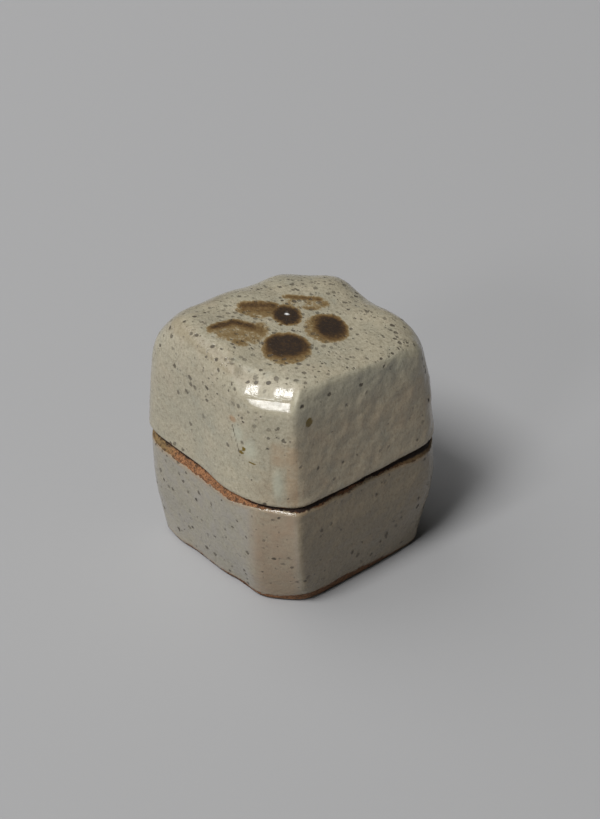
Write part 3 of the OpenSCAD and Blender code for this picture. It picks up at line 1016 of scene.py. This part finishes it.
def with_marks(g, colour, ragged, grain):
    """The glaze's colour under the painted iron, the crack, the olive spots and the white painted highlight.
    """
    painted = g.mask("iron")
    feather = g.math("ADD", ragged, g.scaled(g.centred(grain), IRON_GRAIN))
    speckle = g.scaled(feather, g.fit(painted, 0.0, IRON_SPECKLED, 0.0, IRON_SPECKLE))
    iron = g.math("ADD", painted, speckle)
    ramp = g.node("ShaderNodeValToRGB", {"Fac": iron})
    while len(ramp.color_ramp.elements) < len(IRON_TONES):
        ramp.color_ramp.elements.new(1.0)
    for element, (at, shade) in zip(ramp.color_ramp.elements, IRON_TONES):
        element.position = at
        element.color = (*shade, 1.0)
    colour = g.mix(g.step(iron, *IRON_COVERS), colour, ramp.outputs["Color"])
    split = g.step(g.math("ADD", g.mask("crack"), g.scaled(ragged, 0.8)), 0.3, 0.9)
    colour = g.cover(colour, split, 0.9, CRACK_BROWN)
    flaw = g.step(g.math("ADD", g.mask("flaw"), g.scaled(ragged, 0.6)), 0.1, 0.8)
    colour = g.mix(flaw, colour, SPOT_OLIVE)
    # A painted highlight: a white dot at the blossom's heart
    return g.mix(g.mask("painted_highlight"), colour, HIGHLIGHT_WHITE)


def clay_colour(g, ragged, mottle, grain):
    """Iron-rich bare clay: speckled and olive in places, with painted shade on the right and in the gaps."""
    earth = g.mix(g.step(grain, 0.36, 0.64), CLAY_DARK, CLAY_ORANGE)
    earth = g.cover(earth, g.mask("olive"), 0.85, CLAY_OLIVE)
    earth = g.cover(earth, g.step(mottle, 0.5, 0.66), 0.8, CLAY_SPECKS)
    # Painted shade on the bare clay of the base's right side
    earth = g.cover(earth, g.mask("right_shade_and_dark_edge"), 0.5, CLAY_SHADED)
    # Near-black painted shade in the gaps and at the foot
    shaded_gap = g.step(g.math("ADD", g.mask("gap_shade"), g.scaled(ragged, 0.5)), -0.15, 0.2)
    return g.cover(earth, shaded_gap, 0.95, GAP_SHADE_BLACK)


def glaze_material(name, depth):
    """Ash glaze over iron-rich clay: mottled, pitted, painted in iron, and bare clay where masked.

    A depth below 1 darkens the glaze.
    """
    g = Graph(name)
    place = g.node("ShaderNodeTexCoord").outputs["Object"]
    mm = g.node("ShaderNodeVectorMath", {0: place, "Scale": MM_IN_METRE}, operation="SCALE").outputs[0]
    noises = {key: g.noise(mm, *settings) for key, settings in GLAZE_NOISES.items()}
    mottle, grain = noises["mottle"], noises["grain"]
    ragged = g.centred(mottle)

    holes = all_pits(g, mm)
    clay = g.step(g.math("ADD", g.mask("clay"), g.scaled(ragged, 0.9)), -0.05, 0.12)
    colour = with_marks(g, glaze_colour(g, noises, depth), ragged, grain)
    colour = g.cover(colour, holes, PIT_COVER, PIT_BROWN)
    colour = g.mix(clay, colour, clay_colour(g, ragged, mottle, grain))

    gloss = g.fit(mottle, 0.3, 0.7, *GLAZE_ROUGH)
    roughness = g.blend(clay, g.blend(holes, gloss, PIT_ROUGH), CLAY_ROUGH)
    roughness = g.blend(g.mask("dull"), roughness, DULL_ROUGH)

    swell = g.scaled(g.centred(noises["patch"]), PATCH_RELIEF)
    relief = g.math("ADD", g.scaled(ragged, MOTTLE_RELIEF), swell)
    relief = g.math("SUBTRACT", relief, g.scaled(holes, PIT_DEPTH))
    moving = g.math("SUBTRACT", 1.0, g.scaled(g.mask("still"), STILL_RELIEF))
    gritty = g.math("SUBTRACT", g.scaled(g.centred(grain), CLAY_RELIEF), CLAY_SUNK)
    relief = g.blend(clay, g.scaled(relief, moving), gritty)
    bump = g.node("ShaderNodeBump", {"Strength": 1.0, "Distance": MM, "Height": relief})

    return g.finished({
        "Base Color": colour, "Roughness": roughness, "Normal": bump.outputs[0], "IOR": GLAZE_IOR,
    })


# The grey paper that the box stands on: half its width in m, the way it grows paler and how far that takes in
# m, and two greys near the camera and two far from it: painted shade near and painted light far, which even
# out the lamps

FLOOR_HALF = 3.0
FLOOR_AWAY, FLOOR_FADE = (-0.764, 0.645, 0.0), (-0.12, 0.25)
FLOOR_NEAR_PAINTED_DARKER = ((0.355, 0.355, 0.358), (0.37, 0.37, 0.373))
FLOOR_FAR_PAINTED_PALER = ((0.41, 0.41, 0.414), (0.425, 0.425, 0.43))
FLOOR_CLOUD, FLOOR_ROUGH = 2.0, 0.9


def floor_material():
    """Grey paper with the faintest unevenness, painted darker near the camera and paler far from it against
    the lamps' fall-off.
    """
    g = Graph("grey_paper")
    place = g.node("ShaderNodeTexCoord").outputs["Object"]
    cloud = g.noise(place, FLOOR_CLOUD)
    away = g.node("ShaderNodeVectorMath", {0: place, 1: FLOOR_AWAY}, operation="DOT_PRODUCT")
    far = g.fit(away.outputs["Value"], *FLOOR_FADE, 0.0, 1.0)
    # Painted shade near the camera and painted light far from it, evening out the lamps
    colour = g.mix(far, g.mix(cloud, *FLOOR_NEAR_PAINTED_DARKER), g.mix(cloud, *FLOOR_FAR_PAINTED_PALER))
    return g.finished({"Base Color": colour, "Roughness": FLOOR_ROUGH})


def add_floor():
    mesh = bpy.data.meshes.new("floor")
    corners = [(x * FLOOR_HALF, y * FLOOR_HALF, 0) for x, y in ((-1, -1), (1, -1), (1, 1), (-1, 1))]
    mesh.from_pydata(corners, [], [(0, 1, 2, 3)])
    floor = bpy.data.objects.new("floor", mesh)
    bpy.context.scene.collection.objects.link(floor)
    floor.data.materials.append(floor_material())


# Lamps: name, azimuth and elevation in degrees, distance, width and height in m, and power in W, then the
# height in m on the axis at which they aim, and a little light all round

LAMPS = (
    ("key", 9.0, 57.0, 2.4, (0.8, 0.8), 45.0),
    ("low", 16.0, 27.0, 2.4, (0.42, 0.32), 7.5),
    ("side", -55.0, 58.0, 2.6, (3.2, 2.4), 30.0),
)
LAMP_AIM = 0.027
WORLD_COLOUR, WORLD_STRENGTH = (1.0, 1.0, 1.0, 1.0), 0.03

# The photograph's view: its direction in degrees and distance in m, the photograph's size, the pixel on which
# the middle of the box lies, pixels for each mm there, and the sensor's width in mm

VIEW_AZIMUTH, VIEW_ELEVATION, VIEW_DISTANCE = 49.83, 35.28, 0.55
PHOTO_W, PHOTO_H = 600.0, 819.0
MIDDLE_PIXEL = (293.6, 423.8)
PIXELS_PER_MM = 4.844
SENSOR_W = 36.0
CLIP_START = 0.01


def place_facing(obj, azimuth, elevation, distance, height):
    """Puts an object in a direction and at a distance from a point on the axis, facing that point.

    An azimuth of 0 is straight in front of the box, and 90 on its right.
    """
    a, e = math.radians(azimuth), math.radians(elevation)
    back = Vector((math.sin(a) * math.cos(e), -math.cos(a) * math.cos(e), math.sin(e)))
    obj.location = Vector((0, 0, height)) + back * distance
    obj.rotation_mode = "QUATERNION"
    obj.rotation_quaternion = (-back).to_track_quat("-Z", "Y")
    bpy.context.scene.collection.objects.link(obj)


def add_lights():
    for name, azimuth, elevation, distance, size, power in LAMPS:
        light = bpy.data.lights.new(name, "AREA")
        light.shape = "RECTANGLE"
        light.size, light.size_y = size
        light.energy = power
        place_facing(bpy.data.objects.new(name, light), azimuth, elevation, distance, LAMP_AIM)
    world = bpy.data.worlds.new("studio")
    world.use_nodes = True
    background = world.node_tree.nodes["Background"]
    background.inputs["Color"].default_value = WORLD_COLOUR
    background.inputs["Strength"].default_value = WORLD_STRENGTH
    bpy.context.scene.world = world


def add_camera():
    """The camera of the photograph, whose long side fills the sensor."""
    data = bpy.data.cameras.new("camera")
    data.sensor_width = SENSOR_W
    data.lens = PIXELS_PER_MM * MM_IN_METRE * VIEW_DISTANCE * SENSOR_W / PHOTO_H
    data.shift_x = (PHOTO_W / 2 - MIDDLE_PIXEL[0]) / PHOTO_H
    data.shift_y = (MIDDLE_PIXEL[1] - PHOTO_H / 2) / PHOTO_H
    data.clip_start = CLIP_START
    camera = bpy.data.objects.new("camera", data)
    place_facing(camera, VIEW_AZIMUTH, VIEW_ELEVATION, VIEW_DISTANCE, BOX_H / 2 * MM)
    bpy.context.scene.camera = camera


# How deep the glaze's tone is on each piece: the base's is darker, partly its own glaze and partly painted
# shade for the less light that reaches its downward-facing belly

BASE_DEPTH_AND_SHADE, LID_DEPTH = 0.86, 1.0

base = build_base()
base.data.materials.append(glaze_material("base_glaze", BASE_DEPTH_AND_SHADE))
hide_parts("base")
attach(base, "base")

lid = build_lid()
lid.data.materials.append(glaze_material("lid_glaze", LID_DEPTH))
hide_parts("lid")
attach(lid, "lid")

add_floor()
add_lights()
add_camera()
bpy.context.scene.view_settings.view_transform = "Standard"
